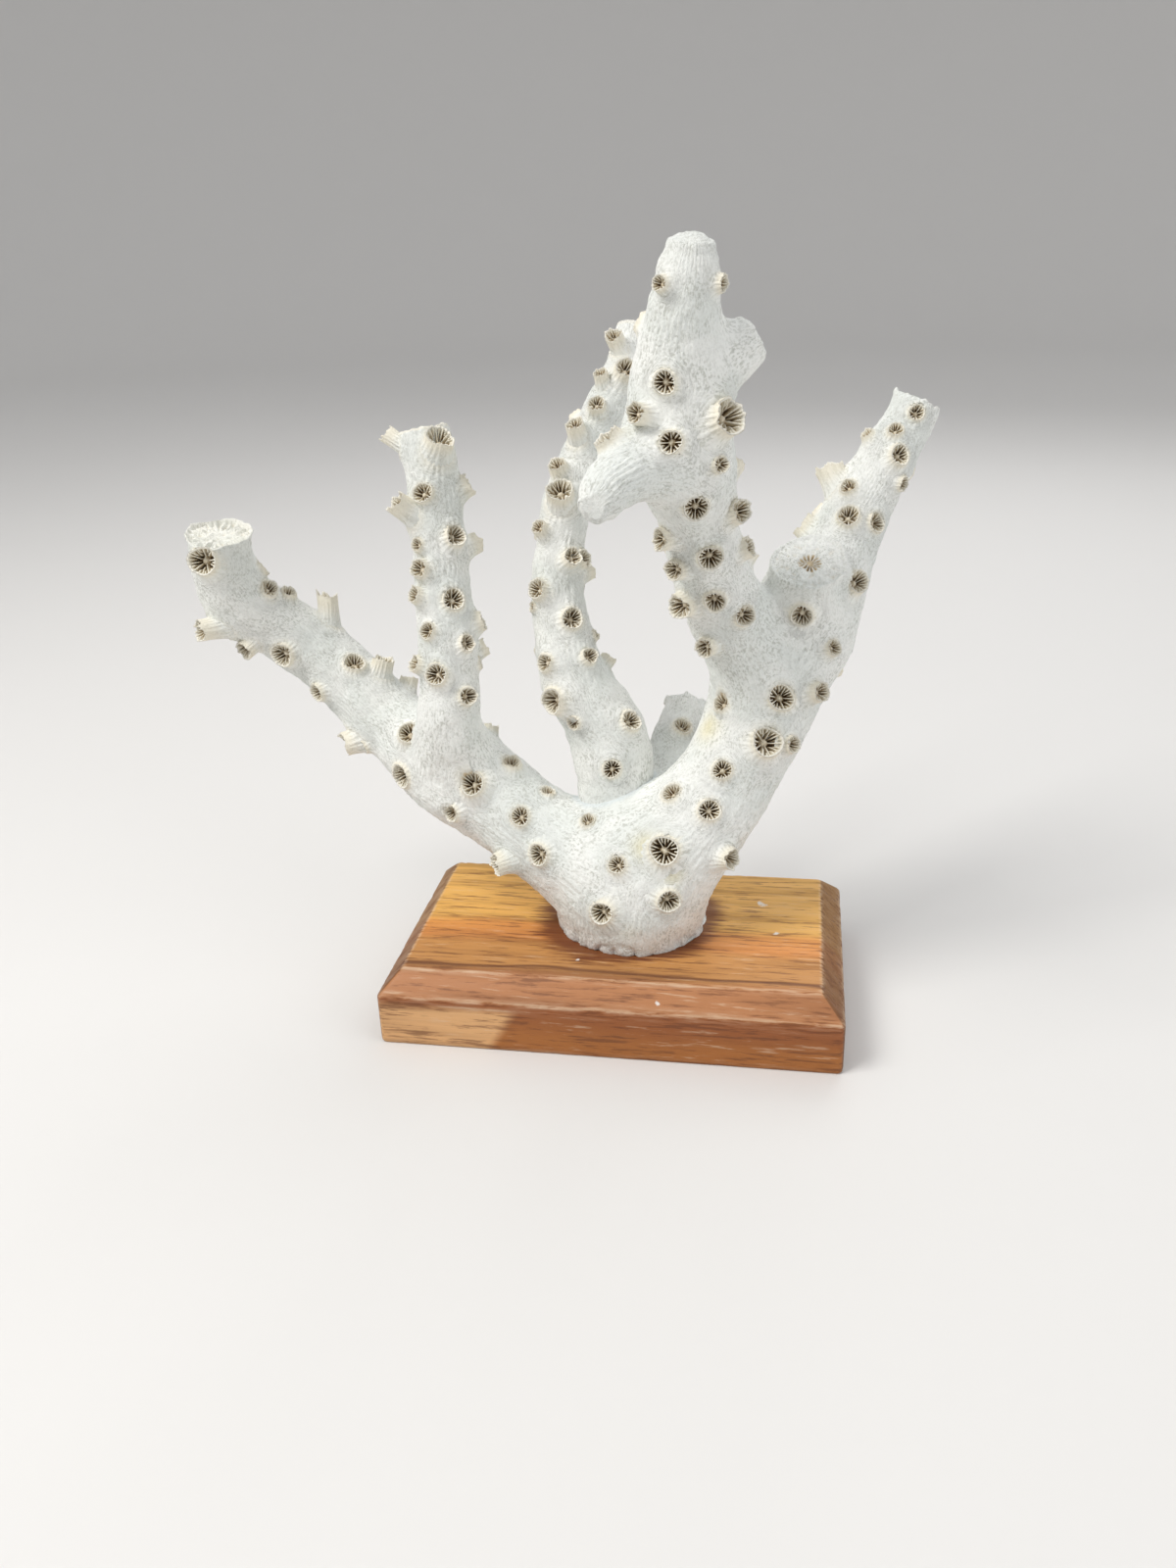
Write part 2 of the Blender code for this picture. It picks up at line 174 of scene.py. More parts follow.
def makePath(stations):
    # A Catmull-Rom curve through the stations, with its length so far, heading, front and side at each point
    given = np.array(stations, float)
    p = np.vstack([2 * given[0] - given[1], given, 2 * given[-1] - given[-2]])
    t = np.linspace(0, 1, 24, endpoint=False)[:, None]
    spans = [0.5 * (2 * b + (c - a) * t + (2 * a - 5 * b + 4 * c - d) * t ** 2 + (3 * b - a - 3 * c + d) * t ** 3)
             for a, b, c, d in zip(p, p[1:], p[2:], p[3:])]
    line = np.vstack(spans + [p[-2][None]])
    along = np.concatenate([[0], np.cumsum(np.linalg.norm(np.diff(line[:, :3], axis=0), axis=1))])
    heading = unit(np.gradient(line[:, :3], along, axis=0))
    toward = np.array([0, -1.0, 0])
    front = unit(toward - (heading @ toward)[:, None] * heading)
    return {"along": along, "line": line, "heading": heading, "front": front, "side": np.cross(heading, front)}


paths = {name: makePath(stations) for name, stations in limbs.items()}
limbLength = {name: path["along"][-1] for name, path in paths.items()}


def onPath(limb, along):
    # Middle point, radius, heading, front and side of a limb at the given mm along it
    path = paths[limb]

    def read(table):
        return np.stack([np.interp(along, path["along"], table[:, k]) for k in range(table.shape[1])], axis=-1)
    here = read(path["line"])
    return here[..., :3], here[..., 3], unit(read(path["heading"])), unit(read(path["front"])), unit(read(path["side"]))


def toLimb(points, limb):
    # Least distance to the balls threaded on a limb's middle line, and how far along the nearest ball is
    stops = np.arange(0, limbLength[limb], 1.5)
    centre, radius, _, _, _ = onPath(limb, stops)
    nearest = np.full(points.shape[:-1], 1e9)
    where = np.zeros(points.shape[:-1])
    for stop, middle, size in zip(stops, centre, radius):
        gap = np.linalg.norm(points - middle, axis=-1) - size
        where = np.where(gap < nearest, stop, where)
        nearest = np.minimum(nearest, gap)
    return nearest, where


# Worn tips: how far the rim flares and how unevenly, domed height, ragged spikes on the rim, the rim's thickness
# as a share, pit depth, height of the blades and of the grit in it, how cream-coloured it is, and a small
# star-shaped cup of the given share and depth
tipColumns = ("flare", "uneven", "dome", "spike", "wall", "pit", "blade", "grit", "pale", "star")
tips = {limb: dict(zip(tipColumns, row)) for limb, row in {
    "left": (1.0, 0.5, 0, 0.6, 0.05, 0.8, 0.35, 0.5, 0.35),
    "upright": (0.4, 0.5, 0.9, 0.9, 0.10, 1.0, 0.3, 0.3, 0.5),
    "middle": (0, 0, 1.8, 0.5, 0.10, 0.4, 0.1, 0.3, 0.4),
    "right": (0.4, 1.1, 0.4, 1.5, 0.13, 1.5, 0.5, 0.6, 0.25),
    "lobe": (0.5, 0.4, 0.25, 0.35, 0.05, 0.3, 0.08, 0.45, 0.12, (0.34, 0.9)),
    "front": (0, 0, 2.7, 0, 0.1, 0, 0, 0.2, 0.1),
    "knob": (0, 0, 2.2, 0.3, 0.1, 0, 0, 0.3, 0.1),
    "spur": (0, 0.2, 2.0, 0.1, 0.2, 0.1, 0.1, 0.25, 0.15),
    "stub": (0.3, 1.4, 0.6, 1.6, 0.25, 1.4, 0.2, 0.9, 0.2),
}.items()}

cupLook = {
    "deep": 1.05,  # the pit's depth in rim radii
    "tooth": 0.12,  # height of the small teeth on the rim, mm
    "uneven": 0.09,  # how ragged the rim is, in rim radii
    "costa": 0.09,  # height of the flutes on the outside, mm
}

skinLook = {
    "lengthways": 0.68,  # mm between grid points along a limb; round it there are four to a rib
    "fork": 3.4, "past": 1.6,  # how softly two limbs run together, and how far each skin runs on past the seam, mm
    "near": 12, "inside": 1.5, "least": 2.5, "most": 8,  # where the rays look for other limbs, start and stay, mm
    "steps": 22, "pace": (0.9, 0.45),  # a ray's steps, and the share of the way left that each one takes
    "fadeIn": (0.5, 3.5), "fadeOut": (5, 2), "bare": 8,  # mm over which a limb's claim begins and ends, and its lack
    "lump": (9.0, 0.45), "dent": (3.4, 0.24), "grain": (1.2, 0.17),  # size and height of the relief, mm
    "rib": (1.15, 0.17), "wander": ((7.0, 3.2), (2.6, 1.4)),  # the ribs' spacing and height, and how they wander
    "flare": 1.2,  # mm over which a tip widens
}


def solveRadius(limb):
    # The skin's distance from the middle line on a coarse table. Limbs that grew together share one smooth
    # surface, the place where the soft least of all their distances is nil. From inside the limb each ray steps
    # out until it meets that surface, or until it is a little way into the space nearest to another limb.
    rows = int(limbLength[limb]) + 1
    along, turn = np.meshgrid(np.linspace(0, limbLength[limb], rows),
                              np.linspace(0, 2 * np.pi, 96, endpoint=False), indexing="ij")
    centre, radius, _, front, side = onPath(limb, along)
    outward = front * np.cos(turn)[..., None] + side * np.sin(turn)[..., None]
    solved = radius.copy()
    soft, past, (quick, slow) = skinLook["fork"], skinLook["past"], skinLook["pace"]
    others = grownTogether[limb]
    if not others:
        return solved
    start = centre + outward * radius[..., None]
    close = np.min([toLimb(start, other)[0] for other in others], axis=0) < skinLook["near"]
    middle, out, plain = centre[close], outward[close], radius[close]
    reach = plain - skinLook["inside"]
    for _ in range(skinLook["steps"]):
        spot = middle + out * reach[:, None]
        own = toLimb(spot, limb)[0]
        total, owned = np.exp(-own / soft), np.full(reach.shape, 1e9)
        for other in others:
            gap, where = toLimb(spot, other)
            total = total + np.exp(-gap / soft)
            covers = ramp(*skinLook["fadeIn"], where)
            if other not in tips:
                covers = covers * (1 - ramp(*(limbLength[other] - k for k in skinLook["fadeOut"]), where))
            owned = np.minimum(owned, gap + skinLook["bare"] * (1 - covers))
        step = np.minimum(quick * soft * np.log(total), slow * (past - own + owned))
        reach = np.clip(reach + step, plain - skinLook["least"], plain + skinLook["most"])
    solved[close] = reach
    return solved


radiusTables = {limb: solveRadius(limb) for limb in limbs}


def baseRadius(limb, along, turn):
    # Reads the table of radii, blended between its four nearest entries
    table = radiusTables[limb]
    rows, columns = table.shape
    r = np.clip(along / limbLength[limb] * (rows - 1), 0, rows - 1.001)
    c = (turn / (2 * np.pi) * columns) % columns
    r0, c0 = r.astype(int), c.astype(int) % columns
    c1 = (c0 + 1) % columns
    partR, partC = r - r0, c - np.floor(c)
    near = table[r0, c0] * (1 - partC) + table[r0, c1] * partC
    far = table[r0 + 1, c0] * (1 - partC) + table[r0 + 1, c1] * partC
    return near * (1 - partR) + far * partR


def coarseRelief(points):
    # Broad lumps and shallow dents, the same function of the place for every limb, so that forks match
    return sum(skinLook[key][1] * noise(points, skinLook[key][0], seed) for seed, key in enumerate(("lump", "dent")))


def skinPoint(limb, along, turn):
    # A point of the skin for a cup to stand on, and the direction out of it
    centre, _, _, front, side = onPath(limb, along)
    outward = front * np.cos(turn)[..., None] + side * np.sin(turn)[..., None]
    base = centre + outward * baseRadius(limb, along, turn)[..., None]
    return base + outward * coarseRelief(base)[..., None], outward


def cupFrame(limb, along, degrees, lean):
    # A cup's foot point, its axis leaning towards the limb's tip, and the two directions across it
    turn = math.radians(degrees)
    point, outward = skinPoint(limb, np.array([float(along)]), np.array([turn]))
    _, _, heading, _, _ = onPath(limb, np.array([float(along)]))
    lean = math.radians(lean)
    axis = outward[0] * math.cos(lean) + heading[0] * math.sin(lean)
    east = heading[0] * math.cos(lean) - outward[0] * math.sin(lean)
    return point[0], axis, east, np.cross(axis, east)


cupFrames = {limb: [(cup, cupFrame(limb, cup[0], cup[1], cup[6])) for cup in cupsOf(limb)] for limb in limbs}
print("cups placed:", sum(len(c) for c in cupFrames.values()))


def bladeCount(rim, seen):
    # More blades in a wider cup, and 12 in every cup at the back
    return (20 if rim > 2.9 else 18 if rim > 2.3 else 16 if rim > 1.9 else 14) if seen else 12


def nearCups(limb, points, outward, middles, reach):
    # For each cup on this limb and on the limbs grown together with it, and the rows of points near it: where
    # the rows face it, how far each point is from its axis, its bearing round it, and how deep its hollow goes
    for name in [limb] + grownTogether[limb]:
        for cup, (foot, axis, east, north) in cupFrames[name]:
            rim, height = cup[2], cup[3]
            rows = np.linalg.norm(middles - foot, axis=-1) < reach + 2.4 * rim
            if not rows.any():
                continue
            offset = points[rows] - foot
            level = offset @ axis
            away = np.linalg.norm(offset - level[..., None] * axis, axis=-1)
            beside = np.abs(level) < rim + 3
            faces = (outward[rows] @ axis > 0.2) & beside
            hollow = np.where(beside, 1 - ramp(0.72 * rim, 0.97 * rim, away), 0)
            hollow = hollow * np.maximum(0, level - height + cupLook["deep"] * rim + 1.6)
            bearing = np.arctan2(offset @ north, offset @ east)
            yield cup, axis, rows, faces, away, bearing, hollow


def gridFaces(rows, columns):
    # Four-sided faces between neighbouring rows, closed round the columns
    first = np.arange((rows - 1) * columns).reshape(rows - 1, columns)
    after = np.roll(first, -1, axis=1)
    return np.stack([first, after, after + columns, first + columns], axis=-1).reshape(-1, 4)


def closedShell(points, wearAndPaintedLight, flow, root=None):
    # The rings' points with their marks, the faces between them, and a fan to a middle point at each end.
    # The root, where given, is the first end's middle point.
    rows, columns = points.shape[:2]

    def listed(values):
        ends = values[[0, -1]].mean(axis=1)
        return np.vstack([values.reshape(-1, values.shape[-1]), ends])
    ring = np.arange(columns)
    top, count = (rows - 1) * columns, rows * columns
    fans = np.vstack([np.stack([np.roll(ring, -1), ring, np.full(columns, count)], axis=-1),
                      np.stack([top + ring, top + np.roll(ring, -1), np.full(columns, count + 1)], axis=-1)])
    flat = listed(points)
    if root is not None:
        flat[count] = root
    return {"points": flat, "wearAndPaintedLight": listed(wearAndPaintedLight), "flow": listed(flow), "quads": gridFaces(rows, columns), "fans": fans}


# Yellow stains: x y z of the middle and the radius in mm. The glue joint is where the middle limb stands.
stains = [(4, -15, 26, 2.6), (8, -14, 46, 3), (21, 1, 70, 3.4), (14, -15, 40, 2.4)]
glue = {"limb": "middle", "wide": 1.9, "high": 0.35}
footEdge = {"level": 18.02, "lobes": 9, "depth": 1.1, "high": 5}


def limbSkin(limb, start, end):
    # A grid of rings round the limb. Each point is the middle line plus the outward direction times the base
    # radius, the relief, fine ribs that run lengthways and a low swell round each cup. Inside a cup the skin
    # drops out of the way. The flow is the place on the limb when it is laid out straight.
    size, tall = skinLook["rib"]
    length = limbLength[limb]
    meanRadius = onPath(limb, np.linspace(0, length, 30))[1].mean()
    ribs = round(2 * np.pi * meanRadius / size)
    rows = int((end - start) / skinLook["lengthways"]) + 2
    along, turn = np.meshgrid(np.linspace(start, end, rows),
                              np.linspace(0, 2 * np.pi, 4 * ribs, endpoint=False), indexing="ij")
    centre, _, heading, front, side = onPath(limb, along)
    outward = front * np.cos(turn)[..., None] + side * np.sin(turn)[..., None]
    reach = baseRadius(limb, along, turn)
    if limb in tips:
        flared = np.exp((along - length) / skinLook["flare"])
        outline = np.stack([3 * np.cos(turn), 3 * np.sin(turn), 0 * turn], axis=-1)
        ragged = noise(outline, 2.6, 18) + 0.6 * noise(outline, 1.1, 19)
        reach = reach + flared * (tips[limb]["flare"] + tips[limb]["uneven"] * ragged)
    base = centre + outward * reach[..., None]
    flow = np.stack([meanRadius * np.cos(turn), meanRadius * np.sin(turn), along], axis=-1)

    wander = sum(high * noise(base, wide, seed) for seed, (wide, high) in enumerate(skinLook["wander"], 3))
    ribHeight = np.cos(ribs * turn + wander) * (0.6 + 0.4 * noise(base, 1.8, 5))
    ribHeight *= 0.25 + 0.75 * ramp(-0.3, 0.3, noise(base, 6.0, 6))
    relief = coarseRelief(base) + skinLook["grain"][1] * noise(base, skinLook["grain"][0], 2)
    near, swell, drop = np.zeros_like(reach), np.zeros_like(reach), np.zeros_like(reach)
    sink = np.zeros_like(base)
    for cup, axis, rows, faces, away, bearing, hollow in nearCups(limb, base, outward, centre[:, 0],
                                                                  reach.max(axis=1)):
        rim, height, blades = cup[2], cup[3], bladeCount(cup[2], cup[4])
        close = np.where(faces, 1 - ramp(0.8 * rim, 2.4 * rim, away), 0)
        ring = blades * 0.8 / (2 * np.pi)
        polar = np.stack([ring * np.cos(bearing), ring * np.sin(bearing), away], axis=-1)
        anchor = flow[rows][faces & (away < rim)]
        anchor = anchor.mean(axis=0) if len(anchor) else np.zeros(3)
        flow[rows] += close[..., None] * (anchor + polar - flow[rows])
        swell[rows] = np.maximum(swell[rows], close ** 2 * min(0.8, 0.3 + 0.12 * height))
        ribHeight[rows] = ribHeight[rows] * (1 - close) + close * np.cos(blades * bearing)
        near[rows] = np.maximum(near[rows], close)
        drop[rows] = np.maximum(drop[rows], hollow)
        sink[rows] -= hollow[..., None] * axis
    relief += tall * ribHeight
    points = base + sink + outward * (relief * (1 - ramp(0.2, 1.0, drop)) + swell * (drop < 0.2))[..., None]

    stain = np.zeros_like(reach)
    for x, y, z, radius in stains:
        stain = np.maximum(stain, np.exp(-(np.linalg.norm(base - (x, y, z), axis=-1) / radius) ** 2))
    joint = np.zeros_like(reach)
    if limb in ("foot", "left", "right", "stub"):
        gap = toLimb(base, glue["limb"])[0] + 0.4 * noise(base, 2.0, 8)
        joint = 1 - ramp(0.1, glue["wide"], gap)
        points = points + outward * (glue["high"] * joint)[..., None]
    if limb == "foot":
        low = 1 - ramp(0, footEdge["high"], points[..., 2] - footEdge["level"])
        scallop = np.abs(np.sin(footEdge["lobes"] / 2 * turn + 1.9 * noise(base, 5.0, 9))) ** 0.6 - 0.8
        scallop = np.minimum(scallop * (1 + 0.5 * noise(base, 4.0, 10)), 0.1)
        points = points + outward * (footEdge["depth"] * low * scallop)[..., None]
        points[..., 2] = np.maximum(points[..., 2], footEdge["level"])
    # the second mark is painted shade where the skin drops into a cup's pit
    wearAndPaintedLight = np.stack([near ** 2 * 0.45, ramp(0.3, 2.0, drop), stain, joint], axis=-1)
    return points, wearAndPaintedLight, flow, heading[-1, 0], ribs


def tipRings(limb, lastRing, lastFlow, heading, ribs):
    # Rings that shrink from the last ring of the skin to the tip's middle. The height is a half circle times
    # the dome, plus spikes that die away inside the rim, less the pit, plus spokes and grit.
    look = tips[limb]
    middle = lastRing.mean(axis=0)
    spread = lastRing - middle
    share = np.concatenate([np.linspace(0.985, 0.86, 5), np.linspace(0.83, 0.03, 21)])[:, None]
    ring = middle + spread[None] * share[..., None]
    turn = np.linspace(0, 2 * np.pi, lastRing.shape[0], endpoint=False)[None, :]
    inside = 1 - share
    pit = ramp(look["wall"], 2.2 * look["wall"], inside)
    edge = np.broadcast_to(spread, ring.shape)
    spikes = look["spike"] * (noise(edge, 2.6, 14) + 0.7 * noise(edge, 1.2, 15))
    rise = look["dome"] * np.sqrt(np.clip(1 - share ** 2, 0, 1)) + spikes * np.exp(-(inside / look["wall"]) ** 2)
    rise = rise + 0.3 * ramp(0, 0.4 * look["wall"], inside) * (1 - pit) - look["pit"] * pit
    grit = noise(ring, 1.3, 11) + 0.7 * noise(ring, 0.7, 12)
    spokes = np.cos(round(ribs / 2) * turn + 1.5 * noise(ring, 1.6, 13)) * pit * ramp(0.35, 0.7, share)
    rise = rise + look["blade"] * spokes + look["grit"] * grit * ramp(0.02, 0.2, inside)
    # painted shade in the tip's low grit, between its spokes and down the star cup's pit, later coloured tan to dark
    # brown
    tipPoreShade = ramp(0.15, 0.9, -grit) * min(1, look["grit"] * 2) + 0.5 * ramp(0, 1, -spokes) * min(1, look["blade"] * 3)
    tipShade = 0.2 * tipPoreShade * ramp(0.03, 0.15, inside)
    if "star" in look:
        wide, deep = look["star"]
        hole = 1 - ramp(wide * 0.7, wide, share)
        spoke = np.cos(14 * turn) * ramp(0.05, 0.12, share)
        rise = rise - deep * hole * (0.6 - 0.4 * spoke)
        tipShade = np.maximum(tipShade, hole * (0.45 - 0.4 * spoke))
    wearAndPaintedLight = np.stack([look["pale"] + 0 * rise, tipShade + 0 * rise, 0 * rise, 0 * rise], axis=-1)
    flow = lastFlow[None] * np.concatenate([np.repeat(share[..., None], 2, axis=-1), 1 + 0 * share[..., None]], axis=-1)
    sink = np.zeros_like(ring)
    level = np.broadcast_to(heading, ring.shape)
    middles = np.broadcast_to(middle, ring[:, 0].shape)
    for _, axis, rows, _, _, _, hollow in nearCups(limb, ring, level, middles, np.full(len(ring), 8.0)):
        sink[rows] -= hollow[..., None] * axis
    rise = rise * (np.abs(sink).sum(axis=-1) < 0.2)
    return ring + sink + heading * rise[..., None], wearAndPaintedLight, np.broadcast_to(flow, ring.shape)


def cupShell(limb, cup, place):
    # A thin-walled cup. The outer wall is a curve from a wide foot on the skin to the rim, fluted in line with
    # the blades. The rim is a narrow lip with a tooth over each blade. Inside, narrow upright blades run to a
    # spongy middle, and the gaps between them fall steeply to a deep floor.
    cupAlong, degrees, rim, height, seen, seed, _ = cup
    foot, axis, east, north = place
    rng = np.random.default_rng(seed)
    blades = bladeCount(rim, seen)
    number = np.repeat(np.arange(blades), 4)  # four columns to a blade: gap, blade, blade, gap
    shift = np.tile([-0.28, -0.15, 0.15, 0.28], blades) + rng.uniform(-0.16, 0.16, blades)[number]
    turn = (number + shift) * 2 * np.pi / blades
    onBlade = np.tile([0.0, 1.0, 1.0, 0.0], blades)
    phase = rng.uniform(0, 6.28, 6)
    across = east[None] * np.cos(turn)[:, None] + north[None] * np.sin(turn)[:, None]
    squeeze = 1 + 0.05 * np.cos(2 * turn + phase[0]) + 0.04 * np.cos(3 * turn + phase[1])
    ragged = cupLook["uneven"] * rim * (0.9 * np.cos(turn + phase[2]) + 0.6 * np.cos(2 * turn + phase[3])
                                        + 0.5 * np.cos(5 * turn + phase[4])) * (0.4 + 0.3 * height)
    spikes = rng.normal(0, 0.05 + 0.05 * min(height, 5), blades)[number]
    rimHeight = height + ragged + spikes + cupLook["tooth"] * (onBlade - 0.5)
    radius = onPath(limb, np.array([float(cupAlong)]))[1][0]

    reach = rim * max(1.4, 1.9 - 0.1 * height)
    footAlong = np.clip(cupAlong + reach * np.cos(turn), 0.2, limbLength[limb] - 0.2)
    footTurn = math.radians(degrees) - reach * np.sin(turn) / radius
    edge, edgeOut = skinPoint(limb, footAlong, footTurn)
    edge = edge - 0.16 * edgeOut
    knee = foot + axis * 0.2 * height + across * (rim * (1.04 - 0.03 * min(height, 5)))
    top = foot + axis * rimHeight[:, None] + across * (rim * squeeze)[:, None]
    t = np.array([0, 0.2, 0.4, 0.6, 0.8, 0.93, 1])[:, None, None]
    outer = (1 - t) ** 2 * edge[None] + 2 * t * (1 - t) * knee[None] + t ** 2 * top[None]
    outer = outer + across[None] * (cupLook["costa"] * (onBlade - 0.5)[None, :, None] * np.sin(np.pi * t) ** 0.7)
    flat = outer[..., 0] * 0
    outerWear = np.stack([0.2 + 0.55 * ramp(0.2, 1, t[..., 0]) + flat, flat, flat, flat], axis=-1)

    # rings from the lip to the middle in shares of the rim's radius, with the gaps' floor and the blades' crest
    share = np.array([0.95, 0.885, 0.865, 0.80, 0.70, 0.58, 0.46, 0.34, 0.22, 0.1])[:, None]
    deep = cupLook["deep"] * rim
    floor = -deep * np.interp(share, [0.1, 0.22, 0.34, 0.46, 0.8, 0.865, 0.885], [0.6, 0.68, 0.9, 1, 0.85, 0.4, 0.03])
    crest = -rim * np.interp(share, [0.1, 0.35, 0.6, 0.8, 0.885], [0.62, 0.42, 0.20, 0.08, 0.01])
    ends = np.array([0.2, 0.62, 0.38, 0.58])[number % 4] + rng.uniform(-0.06, 0.06, blades)[number]
    blade = onBlade[None] * ramp(-0.05, 0.06, share - ends[None]) * (0.8 + 0.2 * rng.random(blades))[number][None]
    fall = floor + (crest - floor) * blade
    rings = across[None] * (rim * share * squeeze[None, :])[..., None]
    fall = fall + 0.12 * rim * noise(rings + seed, 0.7, 17) * (1 - ramp(0.3, 0.42, share))
    fall = np.where(share > 0.9, 0.05, fall)
    level = rimHeight[None, :] + (height - rimHeight[None, :]) * (1 - ramp(0.45, 0.8, share))
    rings = foot + axis * (level + fall)[..., None] + rings
    # painted shade down the pit, darker deeper in the gaps and lighter on the blades and the middle, over the pit's own
    # brown
    depth = ramp(0.18, 1.0, -fall / deep) * (1 - 0.8 * blade) * (1 - 0.5 * (share < 0.3))
    pale = np.where(share > 0.87, 1.0, 0.78 + 0.12 * blade)
    innerPaleAndShade = np.stack([pale + 0 * depth, depth, 0 * depth, 0 * depth], axis=-1)
    points = np.concatenate([outer, rings])
    ring = blades * 0.65 / (2 * np.pi)
    climb = np.linspace(reach, rim, len(t))[:, None]
    flow = np.stack([ring * np.cos(turn) + 0 * flat, ring * np.sin(turn) + 0 * flat, climb + flat + seed], axis=-1)
    root = foot - axis * max(0.8, deep - height + 1.3)
    return closedShell(points, np.concatenate([outerWear, innerPaleAndShade]), np.concatenate([flow, rings - foot]), root)


def joinShells(name, shells, material):
    # One mesh of all the shells, kept inside the solid model's box, with its marks as attributes, painted shade and
    # highlight among them
    sizes = [len(s["points"]) for s in shells]
    starts = np.concatenate([[0], np.cumsum(sizes)[:-1]])
    points = np.vstack([s["points"] for s in shells]) * mm
    points = np.clip(points, np.array(cadLow), np.array(cadHigh))
    quads = np.vstack([s["quads"] + at for s, at in zip(shells, starts)])
    fans = np.vstack([s["fans"] + at for s, at in zip(shells, starts)])
    mesh = bpy.data.meshes.new(name)
    mesh.vertices.add(len(points))
    mesh.vertices.foreach_set("co", points.astype(np.float32).ravel())
    corners = np.concatenate([quads.ravel(), fans.ravel()])
    counts = np.concatenate([np.full(len(quads), 4), np.full(len(fans), 3)])
    mesh.loops.add(len(corners))
    mesh.loops.foreach_set("vertex_index", corners.astype(np.int32))
    mesh.polygons.add(len(counts))
    mesh.polygons.foreach_set("loop_start", (np.cumsum(counts) - counts).astype(np.int32))
    mesh.polygons.foreach_set("loop_total", counts.astype(np.int32))
    mesh.update(calc_edges=True)
    mesh.validate()
    # the marks: real colours, stains and glue, and the painted shade and highlight
    marks = mesh.attributes.new("wearAndPaintedLight", "FLOAT_COLOR", "POINT")
    marks.data.foreach_set("color", np.vstack([s["wearAndPaintedLight"] for s in shells]).astype(np.float32).ravel())
    flows = mesh.attributes.new("flow", "FLOAT_VECTOR", "POINT")
    flows.data.foreach_set("vector", np.vstack([s["flow"] for s in shells]).astype(np.float32).ravel())
    mesh.shade_smooth()
    mesh.set_sharp_from_angle(angle=math.radians(sharpAngle))
    mesh.materials.append(material)
    made = bpy.data.objects.new(name, mesh)
    bpy.context.scene.collection.objects.link(made)
    print(name, "triangles:", 2 * len(quads) + len(fans))
    return made


def coralPiece(look, material):
    # A limb piece: the skin of each stretch with its tip, and every cup that stands on it
    shells = []
    for limb, start, end in look["stretches"]:
        end = limbLength[limb] if end is None else end
        points, wearAndPaintedLight, flow, heading, ribs = limbSkin(limb, start, end)
        if end == limbLength[limb] and limb in tips:
            cap, capPaleAndShade, capFlow = tipRings(limb, points[-1], flow[-1], heading, ribs)
            points, wearAndPaintedLight = np.concatenate([points, cap]), np.concatenate([wearAndPaintedLight, capPaleAndShade])
            flow = np.concatenate([flow, capFlow])
        shells.append(closedShell(points, wearAndPaintedLight, flow))
        shells += [cupShell(limb, cup, place) for cup, place in cupFrames[limb] if start < cup[0] < end]
    made = joinShells("coral_" + look["node"], shells, material)
    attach(made, "root")
    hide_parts(look["node"])
    return made


def nodeTree(name):
    # A new material, its node tree and its main shader
    material = bpy.data.materials.new(name)
    material.use_nodes = True
    return material, material.node_tree, material.node_tree.nodes["Principled BSDF"]


def feed(tree, node, inputs):
    # For each input given: joins another node's output to it, or sets it to a number, a vector or a colour
    for key, value in inputs.items():
        socket = node.inputs[key]
        if isinstance(value, bpy.types.NodeSocket):
            tree.links.new(value, socket)
        elif isinstance(value, (int, float)):
            socket.default_value = value
        else:
            socket.default_value = (*value, 1) if len(socket.default_value) == 4 else value
    return node


def attribute(tree, name):
    # The outputs of a node that reads one of the mesh's own attributes
    node = tree.nodes.new("ShaderNodeAttribute")
    node.attribute_name = name
    return node.outputs


def mixColour(tree, factor, first, second):
    # The first colour times one less the factor, plus the second times the factor
    mix = tree.nodes.new("ShaderNodeMix")
    mix.data_type = "RGBA"
    return feed(tree, mix, {0: factor, 6: first, 7: second}).outputs[2]


def remap(tree, value, low, high, toLow=0.0, toHigh=1.0, smooth=True):
    # Takes low to toLow and high to toHigh, along an S curve or a straight line, and holds still outside
    node = tree.nodes.new("ShaderNodeMapRange")
    node.interpolation_type = "SMOOTHSTEP" if smooth else "LINEAR"
    return feed(tree, node, {0: value, 1: low, 2: high, 3: toLow, 4: toHigh}).outputs[0]


def maths(tree, operation, first, second=0.0):
    # The sum, the difference or another operation on two values
    node = tree.nodes.new("ShaderNodeMath")
    node.operation = operation
    return feed(tree, node, {0: first, 1: second}).outputs[0]


def times(tree, first, second):
    # The first value times the second
    return maths(tree, "MULTIPLY", first, second)


def distanceTo(tree, place, middle):
    # The length of the line from a middle point to the place
    node = tree.nodes.new("ShaderNodeVectorMath")
    node.operation = "DISTANCE"
    return feed(tree, node, {0: place, 1: middle}).outputs["Value"]


def noiseNode(tree, vector, scale, detail=2.0, rough=0.5, stretch=None):
    # Noise of a place, stretched first where three scales are given
    if stretch:
        mapping = tree.nodes.new("ShaderNodeMapping")
        vector = feed(tree, mapping, {"Vector": vector, "Scale": stretch}).outputs[0]
    node = tree.nodes.new("ShaderNodeTexNoise")
    return feed(tree, node, {"Vector": vector, "Scale": scale, "Detail": detail, "Roughness": rough}).outputs["Fac"]


def finishShader(tree, shader, look, body, rough, height):
    # The shader's colour, roughness and shine, and a bump as high as the height times the relief in metres
    bump = feed(tree, tree.nodes.new("ShaderNodeBump"),
                {"Strength": look["bump"], "Distance": look["relief"], "Height": height})
    feed(tree, shader, {"Base Color": body, "Roughness": rough, "Specular IOR Level": look["shine"],
                        "Normal": bump.outputs[0]})


